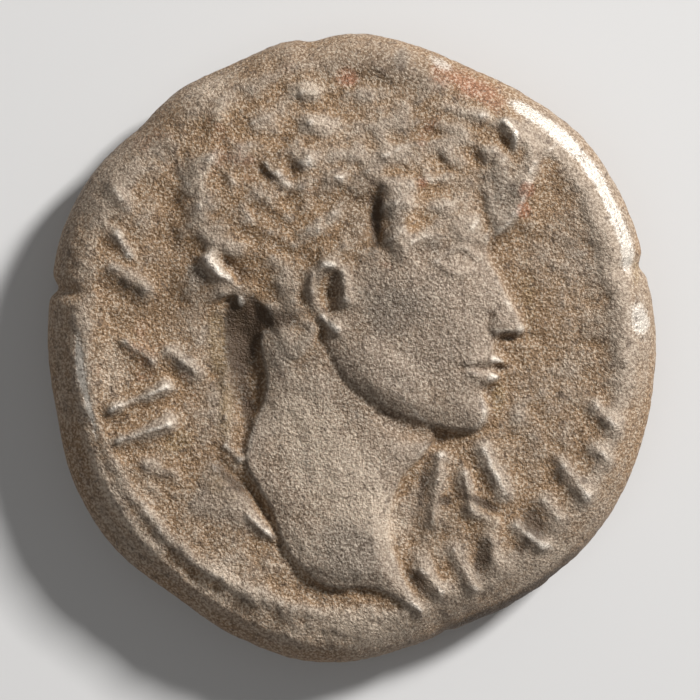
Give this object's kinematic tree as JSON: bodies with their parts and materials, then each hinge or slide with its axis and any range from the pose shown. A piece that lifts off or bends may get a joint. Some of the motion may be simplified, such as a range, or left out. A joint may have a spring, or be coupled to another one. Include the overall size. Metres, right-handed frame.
{
  "type": "tetradrachm coin",
  "caption": "Worn ancient struck coin: thick uneven disc with a head facing right in relief on one face and an eagle on the other.",
  "frame": {"origin": "under the middle of the outline, on the plane that the coin lies on", "axes": "+Z out of the face with the head, +Y to the top of the head, +X the way the head faces"},
  "size_m": [0.0238, 0.0248, 0.0042],
  "materials": {
    "worn_billon": "dull worn metal with brown-grey patina"
  },
  "bodies": {
    "root": {"coin": "worn_billon"}
  },
  "joints": []
}
